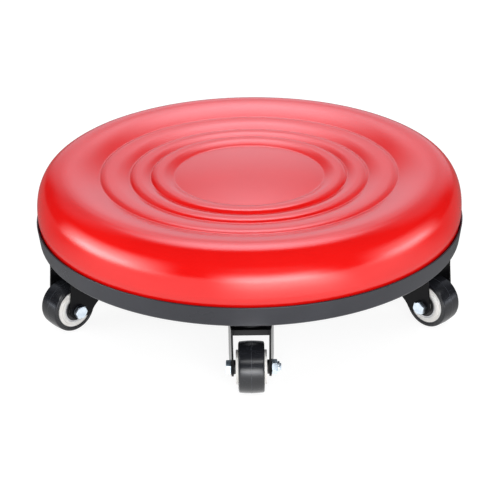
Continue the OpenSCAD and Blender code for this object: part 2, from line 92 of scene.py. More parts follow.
# %% A wire is one output socket with arithmetic
# A Mix node has sockets for every type of data. These are the numbers of its colour ones.
MIX_FIRST, MIX_SECOND, MIX_RESULT = 6, 7, 2


class Wire:
    def __init__(self, tree, socket=None):
        self.tree, self.socket = tree, socket

    def node(self, kind, settings=None, inputs=None, out=0):
        """Any other node: its settings, then its inputs, which are wires or plain values."""
        made = self.tree.nodes.new(kind)
        for name, value in (settings or {}).items():
            setattr(made, name, value)
        for name, value in (inputs or {}).items():
            if isinstance(value, Wire):
                self.tree.links.new(value.socket, made.inputs[name])
            else:
                made.inputs[name].default_value = value
        return Wire(self.tree, made.outputs[out])

    def maths(self, operation, *values):
        return self.node("ShaderNodeMath", {"operation": operation}, dict(enumerate(values)))

    def __add__(self, other): return self.maths("ADD", self, other)
    def __sub__(self, other): return self.maths("SUBTRACT", self, other)
    def __rsub__(self, other): return self.maths("SUBTRACT", other, self)
    def __mul__(self, other): return self.maths("MULTIPLY", self, other)
    def __truediv__(self, other): return self.maths("DIVIDE", self, other)
    def __gt__(self, other): return self.maths("GREATER_THAN", self, other)
    def __abs__(self): return self.maths("ABSOLUTE", self)
    __radd__, __rmul__ = __add__, __mul__

    def ease(self, low, high):
        """0 at low, 1 at high and smooth between them. low may be the larger of the two."""
        return self.node("ShaderNodeMapRange", {"interpolation_type": "SMOOTHSTEP"},
                         {"Value": self, "From Min": low, "From Max": high})

    def mix(self, first, second):
        """A colour between two, with this wire as the share of the second."""
        return self.node("ShaderNodeMix", {"data_type": "RGBA"},
                         {0: self, MIX_FIRST: first, MIX_SECOND: second}, out=MIX_RESULT)

    def axes(self):
        """The three coordinates of a place, as one wire each."""
        parts = self.node("ShaderNodeSeparateXYZ", {}, {0: self}).socket.node
        return [Wire(self.tree, output) for output in parts.outputs]

    def rays(self):
        """Two wires: 1 for what the camera sees itself, and 1 for what a shiny surface sees."""
        path = self.node("ShaderNodeLightPath").socket.node
        return [Wire(self.tree, path.outputs[name])
                for name in ("Is Camera Ray", "Is Glossy Ray")]


print("wires ready")

# %% [markdown]
# ## The studio
# A cushion this smooth is drawn by what it mirrors, and its bands of light tell where each soft
# box stood: one above and behind, one low at each side, and one low in front, right of the
# camera. Behind the seat hangs a pale backdrop, and the room overhead is dark, which leaves the
# deep red band round the front of the cushion.
# One set of bright panels could do all the work. Here the two jobs of a lamp are kept apart
# instead. Area lamps light the matt colours and cast the shadows, and nothing mirrors them.
# What shiny surfaces mirror is painted on the world and on thin bands of light, and so each
# highlight can be set without changing the light on the colours.

# %% Lamps for the matt colours and the shadows
STUDIO_CENTRE = Vector((0, 0, 0.09))


def towards(azimuth, elevation):
    """The direction of a place in the studio. Azimuth 0 is straight behind, 90 on the right."""
    a, e = math.radians(azimuth), math.radians(elevation)
    return Vector((math.sin(a) * math.cos(e), math.cos(a) * math.cos(e), math.sin(e)))


def lamp(name, azimuth, elevation, distance, width, height, radiance):
    """An area lamp that faces the object, seen by no camera and no mirror."""
    made = bpy.data.objects.new(name, bpy.data.lights.new(name, "AREA"))
    scene.collection.objects.link(made)
    made.data.shape = "RECTANGLE"
    made.data.size, made.data.size_y = width, height
    made.data.energy = radiance * math.pi * width * height
    made.location = STUDIO_CENTRE + towards(azimuth, elevation) * distance
    made.rotation_mode = "QUATERNION"
    made.rotation_quaternion = (-towards(azimuth, elevation)).to_track_quat("-Z", "Y")
    made.visible_camera = made.visible_glossy = False
    print(name, "gives", round(made.data.energy, 1), "W")


lamp("lamp_behind", azimuth=0, elevation=53, distance=2.2, width=1.5, height=0.9, radiance=1.5)
lamp("lamp_left", azimuth=-103, elevation=14, distance=2.2, width=1.4, height=0.7, radiance=4.6)
lamp("lamp_right", azimuth=90, elevation=14, distance=2.2, width=1.4, height=0.7, radiance=2.6)
lamp("lamp_front", azimuth=170, elevation=20, distance=2.0, width=1.5, height=0.6, radiance=6.6)

# %% [markdown]
# ### World
# The world is plain white for the camera, as the ground of the photograph is. It gives matt
# surfaces an even light, and only shiny ones see the painted boxes. A picture of a studio could
# be wrapped round the scene for this, but soft rectangles have edges and places that can be set
# one at a time. What shiny surfaces see is a little blue, like the highlights in the photograph.

# %% The sky and its directions
world = bpy.data.worlds.new("studio")
world.use_nodes = True
world.cycles.sampling_method = "NONE"
scene.world = world
sky = Wire(world.node_tree)
direction = sky.node("ShaderNodeTexCoord", out="Generated")


def along(axis):
    """How far the direction of view goes along an axis, from -1 to 1."""
    return direction.node("ShaderNodeVectorMath", {"operation": "DOT_PRODUCT"},
                          {0: direction, 1: axis}, out="Value")


print("the sky is ready to be painted")

# %% Soft boxes painted on the sky
# Azimuth, elevation, half width, half height and soft edge in degrees, and radiance
PAINTED_BOXES = {
    "backdrop": (5, 10, 24, 17, 14, 0.88),
    "middle of the backdrop": (0, 28, 7, 17, 7, 0.4),
    "haze round the top box": (0, 46, 38, 13, 16, 0.5),
    "foot of the top box": (0, 40, 6, 9, 6, 1.9),
    "top box": (0, 57, 12, 12, 9, 4.6),
    "left box": (-99, 0, 18, 6, 5, 3.5),
    "right box": (92.5, 0, 15.5, 6, 5, 3.2),
    "front box": (169, 0, 22, 6.5, 5, 3.5),
}
ROOM = 0.03


def tangent(degrees):
    return math.tan(math.radians(degrees))


def painted_box(azimuth, elevation, half_width, half_height, soft, radiance):
    """A soft rectangle on the sky."""
    ahead = towards(azimuth, elevation)
    right = towards(azimuth + 90, 0)
    depth = along(ahead)
    inside = depth > 0
    for axis, half in ((right, half_width), (right.cross(ahead), half_height)):
        offset = abs(along(axis) / depth)
        inside = inside * (1 - offset.ease(tangent(half - soft), tangent(half + soft)))
    return inside * radiance


def total(wires):
    """The sum of a list of wires."""
    return sum(wires[1:], wires[0])


mirrored = total([painted_box(*box) for box in PAINTED_BOXES.values()]) + ROOM
print(len(PAINTED_BOXES), "boxes are painted on the sky")


# %% What the camera, shiny surfaces and matt surfaces see of the world
AMBIENT = 0.54
WHITE, COOL = (1, 1, 1, 1), (0.95, 1.0, 1.13, 1)


def dress(surface, **values):
    """Numbers and colours go on a shader's sockets, and wires are linked to them."""
    for name, value in values.items():
        socket = surface.inputs[name.replace("_", " ")]
        if isinstance(value, Wire):
            value.tree.links.new(value.socket, socket)
        else:
            socket.default_value = value


camera_ray, glossy_ray = sky.rays()
unseen = glossy_ray * mirrored + (1 - glossy_ray) * AMBIENT
dress(world.node_tree.nodes["Background"],
      Strength=camera_ray + (1 - camera_ray) * unseen,
      Color=glossy_ray.mix(WHITE, COOL))
print("the world lights matt surfaces with", AMBIENT)

# %% [markdown]
# ### Floor
# The floor is a pale matt card. A card lit like the object would turn grey in the picture, so
# for the camera a part of it glows: the open floor comes out white and keeps a soft shadow.
# Shiny surfaces see it brighter in front than behind, brightest where the front soft box shines
# on it, and a little brighter under the front half of the seat.

# %% A material to start from
def new_material(name):
    """A material with a Principled surface, a wire in its tree and the place on the object."""
    material = bpy.data.materials.new(name)
    material.use_nodes = True
    tree = material.node_tree
    wire = Wire(tree)
    place = wire.node("ShaderNodeTexCoord", out="Object")
    return material, tree.nodes["Principled BSDF"], wire, place


def show(wire, shader):
    """The material shows this shader, in place of its Principled one."""
    wire.tree.links.new(shader.socket, wire.tree.nodes["Material Output"].inputs["Surface"])


print("a material starts with a Principled surface")

# %% Floor card
FLOOR_SIZE = 12.0

floor_mesh = bpy.data.meshes.new("floor")
half = FLOOR_SIZE / 2
floor_mesh.from_pydata([(-half, -half, 0), (half, -half, 0), (half, half, 0), (-half, half, 0)],
                       [], [(0, 1, 2, 3)])
floor = bpy.data.objects.new("floor", floor_mesh)
scene.collection.objects.link(floor)
floor_material, _, wire, place = new_material("floor_card")
floor_mesh.materials.append(floor_material)
print("the floor is", FLOOR_SIZE, "m square")

# %% How bright shiny surfaces see the floor
FLOOR_BEHIND, FLOOR_IN_FRONT, FLOOR_AT_LAMP, FLOOR_UNDER = 0.2, 1.6, 5.6, 0.6
# Where each of these starts and where it is full. OUT is from the middle, NORTH is to the back,
# both in metres, and ASIDE is a share of the distance out.
IN_FRONT_NORTH = (0.1, -0.3)
AT_LAMP_AZIMUTH, AT_LAMP_OUT, AT_LAMP_ASIDE = 165, (0.22, 0.7), (0.2, 0.65)
UNDER_OUT, UNDER_NORTH = (0.13, 0.2), (0.06, -0.02)


def heading(place, azimuth):
    """How far a place lies out towards an azimuth, and how far aside as a share of that."""
    east, north, _ = place.axes()
    ahead, right = towards(azimuth, 0), towards(azimuth + 90, 0)
    out = east * ahead.x + north * ahead.y
    return out, abs((east * right.x + north * right.y) / out)


east, north, _ = place.axes()
reach = wire.maths("SQRT", east * east + north * north)
out, aside = heading(place, AT_LAMP_AZIMUTH)
at_lamp = (out > 0) * reach.ease(*AT_LAMP_OUT) * (1 - aside.ease(*AT_LAMP_ASIDE))
under = (1 - reach.ease(*UNDER_OUT)) * north.ease(*UNDER_NORTH)
shine = (at_lamp * FLOOR_AT_LAMP + under * FLOOR_UNDER + FLOOR_BEHIND
         + north.ease(*IN_FRONT_NORTH) * (FLOOR_IN_FRONT - FLOOR_BEHIND))
print("a mirror sees", FLOOR_BEHIND, "behind the seat and", FLOOR_IN_FRONT, "in front of it")

# %% Matt card with a glow
FLOOR_COLOUR = (0.80, 0.80, 0.80, 1)
FLOOR_GLOW, GLOW_SHARE = 1.42, 0.6

camera_ray, glossy_ray = wire.rays()
matt = wire.node("ShaderNodeBsdfDiffuse", {}, {"Color": FLOOR_COLOUR})
glow = wire.node("ShaderNodeEmission", {},
                 {"Color": WHITE, "Strength": camera_ray * FLOOR_GLOW + glossy_ray * shine})
show(wire, wire.node("ShaderNodeMixShader", {},
                     {0: camera_ray * GLOW_SHARE + glossy_ray, 1: matt, 2: glow}))
print("for the camera", GLOW_SHARE, "of the floor glows with", FLOOR_GLOW)

# %% [markdown]
# ### Strip lights
# The long highlights on the big roll come from strip lights at the height of the roll, close to
# it. A light that is as low and near as this shows in the side of the cushion, but not in its
# top, which would turn white from the far side. Three of them are painted on one thin band round
# the seat. A lower band carries a short one, which draws the light line on the front tyre.
# Only reflections see the bands. They add light to what is behind them and block nothing.

# %% Bands for the strip lights
STRIP_R, STRIP_LOW, STRIP_HIGH = 0.23, 0.088, 0.162
TYRE_STRIP_R, TYRE_STRIP_LOW, TYRE_STRIP_HIGH = 0.2, 0.024, 0.04
STRIP_SEGMENTS = 96

strip_turns = [2 * math.pi * i / STRIP_SEGMENTS for i in range(STRIP_SEGMENTS)]
strip_mesh = bpy.data.meshes.new("strip_lights")
strip_edges = [(STRIP_R, STRIP_LOW), (STRIP_R, STRIP_HIGH),
               (TYRE_STRIP_R, TYRE_STRIP_LOW), (TYRE_STRIP_R, TYRE_STRIP_HIGH)]
strip_faces = [[first + i, first + (i + 1) % STRIP_SEGMENTS,
                first + (i + 1) % STRIP_SEGMENTS + STRIP_SEGMENTS, first + i + STRIP_SEGMENTS]
               for first in (0, 2 * STRIP_SEGMENTS) for i in range(STRIP_SEGMENTS)]
strip_mesh.from_pydata([(r * math.cos(a), r * math.sin(a), z)
                        for r, z in strip_edges for a in strip_turns], [], strip_faces)
strips = bpy.data.objects.new("strip_lights", strip_mesh)
scene.collection.objects.link(strips)
strips.visible_camera = strips.visible_diffuse = strips.visible_shadow = False
print("two bands, at", STRIP_R, "m and", TYRE_STRIP_R, "m from the middle")

# %% Strip lights on the bands
# Azimuth, half its angle and its soft ends in degrees, the heights in metres at which it starts,
# is full and ends, and radiance
STRIPS = {
    "left": (-130, 16, 13, STRIP_LOW, 0.102, 0.16, 8.5),
    "right": (124, 12, 11, STRIP_LOW, 0.102, 0.16, 4.0),
    "front": (173, 13.6, 9, STRIP_LOW, 0.1, 0.126, 7.0),
    "front tyre": (180, 4, 2, TYRE_STRIP_LOW, 0.03, TYRE_STRIP_HIGH, 8.5),
}

strip_material, _, wire, place = new_material("strip_lights")
strip_material.cycles.emission_sampling = "NONE"


def strip(azimuth, half, soft, start, full, end, radiance):
    """One strip, bright inside its angle and between its heights."""
    up = place.axes()[2]
    out, aside = heading(place, azimuth)
    inside = 1 - aside.ease(tangent(half - soft), tangent(half + soft))
    return (out > 0) * inside * up.ease(start, full) * up.ease(end, full) * radiance


strength = total([strip(*row) for row in STRIPS.values()])
clear = wire.node("ShaderNodeBsdfTransparent", {}, {"Color": WHITE})
glow = wire.node("ShaderNodeEmission", {}, {"Color": WHITE, "Strength": strength})
show(wire, wire.node("ShaderNodeAddShader", {}, {0: clear, 1: glow}))
strip_mesh.materials.append(strip_material)
print(len(STRIPS), "strip lights are painted on the bands")

# %% [markdown]
# ## Finishes
# Each finish starts from what the real surface is, and is made of nodes that work in three
# dimensions, so that no piece needs to be unwrapped. A wide, faint pattern shifts the colour and
# the shine a little, because no real surface is quite even, and a fine one goes into the bump.

# %% Colours, noise and bumps
MICRON = 0.000001


def rgb(red, green, blue):
    """A colour from 0 to 255, as a picture editor names it, in the linear values of a node."""
    linear = [c / 255 / 12.92 if c <= 10 else ((c / 255 + 0.055) / 1.055) ** 2.4
              for c in (red, green, blue)]
    return (*linear, 1)


def speckle(wire, place, size, detail=2, stretch=(1, 1, 1)):
    """Noise from 0 to 1, in blotches of about size metres, drawn out along X, Y or Z."""
    scaled = wire.node("ShaderNodeVectorMath", {"operation": "MULTIPLY"},
                       {0: place, 1: [1 / size / s for s in stretch]})
    return wire.node("ShaderNodeTexNoise", {}, {"Vector": scaled, "Scale": 1, "Detail": detail})


def bumps(wire, height, depth, under=None):
    """A Bump node: height is a wire from 0 to 1, and depth its full height in metres."""
    inputs = {"Height": height, "Strength": 1, "Distance": depth}
    if under is not None:
        inputs["Normal"] = under
    return wire.node("ShaderNodeBump", {}, inputs)


print("a middle grey of 128 is", round(rgb(128, 128, 128)[0], 3), "in linear light")

# %% [markdown]
# ### Red skin
# The cushion's skin is a satin plastic with the fine pebble grain of its mould. The grain could
# be modelled, but pebbles a millimetre wide and 0.02 mm high would need millions of faces. A
# Voronoi pattern is a field of cells that touch, just as the pebbles do, and serves as a bump.

# %% Red skin
REDS = rgb(233, 12, 9), rgb(239, 16, 12)
BLOTCH, SKIN_GRAIN, SKIN_GRAIN_HIGH = 70 * MM, 0.6 * MM, 8 * MICRON
PEBBLE, PEBBLE_SMOOTH, PEBBLE_HIGH = 1.1 * MM, 0.6, 20 * MICRON
# The least roughness, and what the blotches and the grain add to it
SKIN_ROUGH, BLOTCH_HAZE, GRAIN_HAZE = 0.135, 0.04, 0.03
# Nearly all of a noise lies between these, so a step between them uses its whole range
NOISE_RANGE = (0.3, 0.7)


def red_skin():
    material, surface, wire, place = new_material("red_skin")
    blotch = speckle(wire, place, BLOTCH, 3)
    fine = speckle(wire, place, SKIN_GRAIN)
    pebbles = wire.node("ShaderNodeTexVoronoi", {"feature": "SMOOTH_F1"},
                        {"Vector": place, "Scale": 1 / PEBBLE, "Smoothness": PEBBLE_SMOOTH})
    dress(surface,
          Base_Color=blotch.ease(*NOISE_RANGE).mix(*REDS),
          Roughness=blotch * BLOTCH_HAZE + fine * GRAIN_HAZE + SKIN_ROUGH,
          Normal=bumps(wire, fine, SKIN_GRAIN_HIGH, bumps(wire, pebbles, PEBBLE_HIGH)),
          Specular_IOR_Level=0.5)
    return material


print("pebbles are", round(PEBBLE / MM, 2), "mm wide")

# %% [markdown]
# ### Dark coats
# The tray and the forks are sheet steel under a baked coat. It could be a metal with a clear
# layer on top, but no metal shows through this coat, and a plain dark surface with a weak shine
# does the same. A coat sets with slow waves called orange peel. They break up what it mirrors.

# %% Dark coats on steel
COAT_CLOUD, COAT_RANGE, COAT_HAZE = 30 * MM, (0.25, 0.75), 0.08
PEEL_SIZE, LIGHTER = 2.2 * MM, 1.25


def dark_coat(name, colour, roughness, peel, shine):
    """peel is the height of the orange peel in metres, and shine the strength of the mirror."""
    material, surface, wire, place = new_material(name)
    cloud = speckle(wire, place, COAT_CLOUD, 3)
    orange_peel = speckle(wire, place, PEEL_SIZE, 1)
    lighter = [c * LIGHTER for c in colour[:3]] + [1]
    dress(surface,
          Base_Color=cloud.ease(*COAT_RANGE).mix(colour, lighter),
          Roughness=cloud * COAT_HAZE + roughness,
          Normal=bumps(wire, orange_peel, peel),
          Specular_IOR_Level=shine)
    return material


print("orange peel has waves of", round(PEEL_SIZE / MM, 2), "mm")

# %% [markdown]
# ### Tyre
# The tyres are a black plastic that feels like hard rubber, and handling leaves pale scuffs on
# them. Scuffs could be painted in an image. Noise that is drawn out along the axle gives the
# same short streaks across the tread, and it fits every tyre without one.

# %% Tyre rubber
TYRE_GREYS = rgb(30, 31, 35), rgb(42, 44, 50)
TYRE_CLOUD, TYRE_GRAIN, TYRE_GRAIN_HIGH = 8 * MM, 0.4 * MM, 12 * MICRON
SCUFF, SCUFF_STRETCH, SCUFF_RANGE = 1.5 * MM, (1, 1, 6), (0.55, 0.8)
TYRE_ROUGH, TYRE_HAZE, SCUFF_HAZE = 0.16, 0.10, 0.08


def tyre_rubber():
    material, surface, wire, place = new_material("tyre_rubber")
    cloud = speckle(wire, place, TYRE_CLOUD, 4)
    grain = speckle(wire, place, TYRE_GRAIN)
    scuffs = speckle(wire, place, SCUFF, 4, SCUFF_STRETCH)
    dress(surface,
          Base_Color=scuffs.ease(*SCUFF_RANGE).mix(*TYRE_GREYS),
          Roughness=cloud * TYRE_HAZE + scuffs * SCUFF_HAZE + TYRE_ROUGH,
          Normal=bumps(wire, grain, TYRE_GRAIN_HIGH))
    return material


print("scuffs are", SCUFF_STRETCH[2], "times as long as they are wide")

# %% [markdown]
# ### Moulded plastics
# The hubs are cream nylon, and the bearing shields, the spacers and the collars of the nuts are
# moulded too. They differ in colour and shine alone, so that one function makes them all.

# %% Moulded plastics
PLASTIC_CLOUD, PLASTIC_HAZE = 6 * MM, 0.08
PLASTIC_GRAIN, PLASTIC_GRAIN_HIGH = 0.5 * MM, 10 * MICRON


def plastic(name, colour, shade, roughness):
    material, surface, wire, place = new_material(name)
    cloud = speckle(wire, place, PLASTIC_CLOUD, 3)
    grain = speckle(wire, place, PLASTIC_GRAIN)
    dress(surface, Base_Color=cloud.ease(*NOISE_RANGE).mix(colour, shade),
          Roughness=cloud * PLASTIC_HAZE + roughness,
          Normal=bumps(wire, grain, PLASTIC_GRAIN_HIGH))
    return material


print("the grain of moulded parts is", round(PLASTIC_GRAIN / MM, 2), "mm wide")

# %% [markdown]
# ### Metals
# Bolts, nuts and screws are steel with a skin of zinc, which looks a little blue, and bearing
# rings are ground bare steel. What makes small metal parts look real is that their shine is
# uneven: clouds of haze, and fine scratches along the axle that also bend the light.

# %% Bare and plated metals
METAL_CLOUD, METAL_RANGE, METAL_HAZE = 4 * MM, (0.3, 0.75), 0.12
SCRATCH, SCRATCH_STRETCH = 0.8 * MM, (1, 1, 8)
SCRATCH_HIGH, SCRATCH_HAZE = 6 * MICRON, 0.08


def metal(name, colour, shade, roughness, metallic=1.0):
    material, surface, wire, place = new_material(name)
    cloud = speckle(wire, place, METAL_CLOUD, 4)
    scratches = speckle(wire, place, SCRATCH, 3, SCRATCH_STRETCH)
    dress(surface, Metallic=metallic,
          Base_Color=cloud.ease(*METAL_RANGE).mix(colour, shade),
          Roughness=cloud * METAL_HAZE + scratches * SCRATCH_HAZE + roughness,
          Normal=bumps(wire, scratches, SCRATCH_HIGH))
    return material


print("scratches are", SCRATCH_STRETCH[2], "times as long as they are wide")

# %% [markdown]
# ### Plywood
# The board under the foam is hidden, but it shows when the seat is taken apart. Its plies are
# even layers, so a sine wave over the height makes them, and its fibres are drawn out along X.

# %% Plywood
WOODS = rgb(205, 170, 118), rgb(160, 118, 70)
PLY, PLY_EDGES, PLY_SHARE = 3 * MM, (-0.3, 0.3), 0.3
FIBRE, FIBRE_STRETCH, FIBRE_SHARE, FIBRE_HIGH = 4 * MM, (8, 1, 1), 0.7, 100 * MICRON
WOOD_ROUGH, FIBRE_HAZE = 0.55, 0.2


def plywood():
    material, surface, wire, place = new_material("plywood")
    fibres = speckle(wire, place, FIBRE, 5, FIBRE_STRETCH)
    plies = wire.maths("SINE", place.axes()[2] * (2 * math.pi / PLY)).ease(*PLY_EDGES)
    dress(surface,
          Base_Color=(fibres * FIBRE_SHARE + plies * PLY_SHARE).mix(*WOODS),
          Roughness=fibres * FIBRE_HAZE + WOOD_ROUGH,
          Normal=bumps(wire, fibres, FIBRE_HIGH))
    return material


print("plies are", round(PLY / MM, 2), "mm thick")

# %% [markdown]
# ### All finishes
# Each name is a material slot, and pieces of the same stuff share one. Roughness goes from 0.06
# on polished race balls to over 0.5 on plywood, with the paints and the plastics in between.

# %% All finishes
FINISH = {
    "red_skin": red_skin(),
    "plywood": plywood(),
    "tray_paint": dark_coat("tray_paint", rgb(42, 43, 49), 0.25, 10 * MICRON, 0.33),
    "black_steel": dark_coat("black_steel", rgb(13, 13, 15), 0.27, 20 * MICRON, 0.1),
    "tyre_rubber": tyre_rubber(),
    "cream_plastic": plastic("cream_plastic", rgb(251, 250, 248), rgb(246, 244, 240), 0.30),
    # A lighter grey on the tyre's raised mould line, which paints a highlight along the tread
    "tyre_seam_highlight": plastic("tyre_seam_highlight", rgb(50, 52, 58), rgb(40, 42, 47), 0.3),
    "dark_plastic": plastic("dark_plastic", rgb(34, 34, 36), rgb(46, 46, 48), 0.38),
    "nylon": plastic("nylon", rgb(206, 212, 220), rgb(190, 198, 208), 0.40),
    "zinc": metal("zinc", rgb(214, 224, 232), rgb(196, 208, 220), 0.22),
    "bright_steel": metal("bright_steel", rgb(214, 214, 216), rgb(192, 193, 196), 0.2, 0.6),
    "ball_steel": metal("ball_steel", rgb(220, 220, 222), rgb(206, 206, 210), 0.06),
}
print("finishes:", ", ".join(sorted(FINISH)))

# %% [markdown]
# ## The cushion
# The real cushion is foam with a skin, pressed in a mould that is turned on a lathe: a big
# outer roll, three smaller rolls inside it and a slightly domed disc. A sewn cushion would want
# a cloth simulation. This one keeps the mould's shape, so its half section is drawn once and
# spun round the axis.

# %% Sizes of the cushion, in millimetres over the tray floor
TRAY_FLOOR = 63.2
# The outer roll: its radius, the heights of its crest and its waist, then the crest's radius,
# how square the roll is, and how far and along what curve it tucks in towards its foot
CUSHION_R, CUSHION_H, WAIST_H = 175.6, 57.0, 22.8
CREST_R, ROLL_POWER, TUCK_IN, TUCK_SHAPE = 150.0, 2.45, 4.6, 1.3
# Creases and the edge of the disc, as radius and height
CREASE_C, CREASE_B, CREASE_A = (122.8, 50.3), (98.4, 48.0), (81.0, 47.8)
DISC_EDGE, DISC_RISE = (62.2, 47.1), 2.6
# How far each small roll bulges, where along its width it is highest, and how its sides fall
BEAD_BULGE, MIDDLE_BULGE, FLAT_BULGE = 2.8, 2.2, 2.2
ROLL_TOP, ROLL_RISE, ROLL_FALL, CREST_EASE = 0.52, 1.7, 4.2, 1.7
# The hollow underneath, which holds the board
HOLE_R, HOLE_H = 169.6, 9.3
print("the cushion is", 2 * CUSHION_R, "mm wide and", CUSHION_H, "mm high")

# %% Half section of the cushion
DISC_STEPS, BEAD_STEPS, MIDDLE_STEPS, FLAT_STEPS = 60, 40, 44, 60
INNER_STEPS, OUTER_STEPS, SIDE_STEPS = 50, 120, 30


def roll_shape(t):
    """Height of a roll over its width: an even rise, then a fall that steepens outwards."""
    if t < ROLL_TOP:
        return 1 - (1 - t / ROLL_TOP) ** ROLL_RISE
    return 1 - ((t - ROLL_TOP) / (1 - ROLL_TOP)) ** ROLL_FALL


def between(p, q, bulge, steps):
    """One roll between two creases: a straight line with a bulge on it."""
    return [(p[0] + (q[0] - p[0]) * t, p[1] + (q[1] - p[1]) * t + bulge * roll_shape(t))
            for t in (i / steps for i in range(1, steps + 1))]


def cushion_section():
    """From the middle of the top, over the rolls and the crest, down the side and under."""
    disc = [(DISC_EDGE[0] * t, DISC_EDGE[1] + DISC_RISE * (1 - t * t))
            for t in (i / DISC_STEPS for i in range(DISC_STEPS + 1))]
    rolls = (between(DISC_EDGE, CREASE_A, BEAD_BULGE, BEAD_STEPS)
             + between(CREASE_A, CREASE_B, MIDDLE_BULGE, MIDDLE_STEPS)
             + between(CREASE_B, CREASE_C, FLAT_BULGE, FLAT_STEPS))
    inner = [(CREASE_C[0] + (CREST_R - CREASE_C[0]) * t,
              CREASE_C[1] + (CUSHION_H - CREASE_C[1]) * (1 - (1 - t) ** CREST_EASE))
             for t in (i / INNER_STEPS for i in range(1, INNER_STEPS))]
    outer = [(CREST_R + (CUSHION_R - CREST_R) * math.cos(a) ** (2 / ROLL_POWER),
              WAIST_H + (CUSHION_H - WAIST_H) * math.sin(a) ** (2 / ROLL_POWER))
             for a in (math.pi / 2 * (1 - i / OUTER_STEPS) for i in range(OUTER_STEPS))]
    side = [(CUSHION_R - TUCK_IN * t ** TUCK_SHAPE, WAIST_H * (1 - t))
            for t in (i / SIDE_STEPS for i in range(SIDE_STEPS + 1))]
    return disc + rolls + inner + outer + side


print("the line has", len(cushion_section()), "points, closer on some parts than on others")

# %% [markdown]
# ### Even steps and soft creases
# Highlights run best over faces of about one size. A remesh modifier could make them so, but it
# would lose the rings. So the line is walked again in even steps, and then each point moves a
# little towards its neighbours, which rounds the creases as foam does.

# %% Even steps and soft creases
EVEN_STEP, SOFTENING = 0.75, 1


def even_steps(points, step):
    """The same line with points at even distances along it."""
    lengths = [0.0]
    for p, q in zip(points, points[1:]):
        lengths.append(lengths[-1] + math.dist(p, q))
    count = round(lengths[-1] / step)
    result, at = [], 0
    for i in range(count + 1):
        want = lengths[-1] * i / count
        while at < len(points) - 2 and lengths[at + 1] < want:
            at += 1
        span = lengths[at + 1] - lengths[at]
        t = (want - lengths[at]) / span if span else 0
        result.append(tuple(a + (b - a) * t for a, b in zip(points[at], points[at + 1])))
    return result


def softened(points, passes):
    """Each pass moves every inner point a quarter of the way towards its neighbours."""
    for _ in range(passes):
        points = ([points[0]]
                  + [tuple((a + 2 * b + c) / 4 for a, b, c in zip(*three))
                     for three in zip(points, points[1:], points[2:])]
                  + [points[-1]])
    return points


SECTION = softened(even_steps(cushion_section(), EVEN_STEP), SOFTENING)
print("cushion section has", len(SECTION), "points")

# %% [markdown]
# ### A lathe for every round piece
# The cushion, the tyres, the hubs and the bearings all have a middle line, and the real ones are
# turned or come from turned moulds. Blender has a Screw modifier for this. A function that
# writes the rings itself also gives each band of a piece its own finish.

# %% Spin a section round the Z axis
ON_AXIS = 1e-6
LATHE_SHARP = 35


def lathe(name, points, segments, finishes, bands=None):
    """A turned mesh from (radius, height) points in mm. A radius of 0 closes it in one point.
    bands gives each strip between two points the number of its finish."""
    verts, faces, indices, rings = [], [], [], []
    for r, z in points:
        if r < ON_AXIS:
            rings.append([len(verts)] * segments)
            verts.append((0, 0, z * MM))
        else:
            rings.append(list(range(len(verts), len(verts) + segments)))
            verts += [(r * MM * math.cos(2 * math.pi * i / segments),
                       r * MM * math.sin(2 * math.pi * i / segments), z * MM)
                      for i in range(segments)]
    for k, (low, high) in enumerate(zip(rings, rings[1:])):
        for i in range(segments):
            j = (i + 1) % segments
            corners = list(dict.fromkeys([low[i], low[j], high[j], high[i]]))
            if len(corners) > 2:
                faces.append(corners)
                indices.append(bands[k] if bands else 0)
    mesh = bpy.data.meshes.new(name)
    mesh.from_pydata(verts, [], faces)
    for finish in finishes:
        mesh.materials.append(FINISH[finish])
    mesh.polygons.foreach_set("material_index", indices)
    finish_mesh(mesh, LATHE_SHARP)
    return mesh


def finish_mesh(mesh, sharp_angle):
    """Faces turned outwards and shaded smooth, but for edges sharper than an angle."""
    work = bmesh.new()
    work.from_mesh(mesh)
    bmesh.ops.recalc_face_normals(work, faces=work.faces)
    work.to_mesh(mesh)
    work.free()
    mesh.shade_smooth()
    mesh.set_sharp_from_angle(angle=math.radians(sharp_angle))


print("lathe ready")

# %% [markdown]
# ### Cushion
# Foam never comes out of the mould quite even. A slow noise moves the skin in and out by about a
# tenth of a millimetre, too little to see as a shape, but enough to bend the highlights.

# %% Cushion
CUSHION_SEGMENTS = 288
UNEVEN, UNEVEN_SIZE = 0.00012, 0.045
OUTWARDS_Z = 0.1


def add_piece(name, mesh, body, place=Matrix.Identity(4)):
    """An object with this mesh that rides on a CAD body."""
    piece = bpy.data.objects.new(name, mesh)
    scene.collection.objects.link(piece)
    piece.matrix_world = place
    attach(piece, body)
    return piece


underside = [(HOLE_R, 0), (HOLE_R, HOLE_H), (0, HOLE_H)]
cushion_mesh = lathe("seat_cushion", SECTION + underside, CUSHION_SEGMENTS, ["red_skin"])
for vertex in cushion_mesh.vertices:
    if vertex.co.z > 2 * HOLE_H * MM:
        swell = noise.noise(vertex.co / UNEVEN_SIZE)
        outwards = Vector((vertex.co.x, vertex.co.y, OUTWARDS_Z)).normalized()
        vertex.co += outwards * swell * UNEVEN
cushion = add_piece("seat_cushion", cushion_mesh, "seat",
                    Matrix.Translation((0, 0, TRAY_FLOOR * MM)))
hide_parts("seat_skin", "seat_foam")
print("cushion has", len(cushion_mesh.polygons), "faces")

# %% [markdown]
# ## The casters
# Each wheel is a cream hub with a black tyre moulded round it, two shielded ball bearings, and
# an M6 bolt with a locking nut through the fork. Wheels, hubs and bearings are turned parts, so
# a lathe makes them too. Their axles come from the CAD model's own joints: one joint gives the
# place and the direction of each axle.

# %% Places of the axles
CASTERS = ["front", "left", "right", "rear_left", "rear_right"]
joints = {joint["name"]: joint for joint in frame["joints"]}


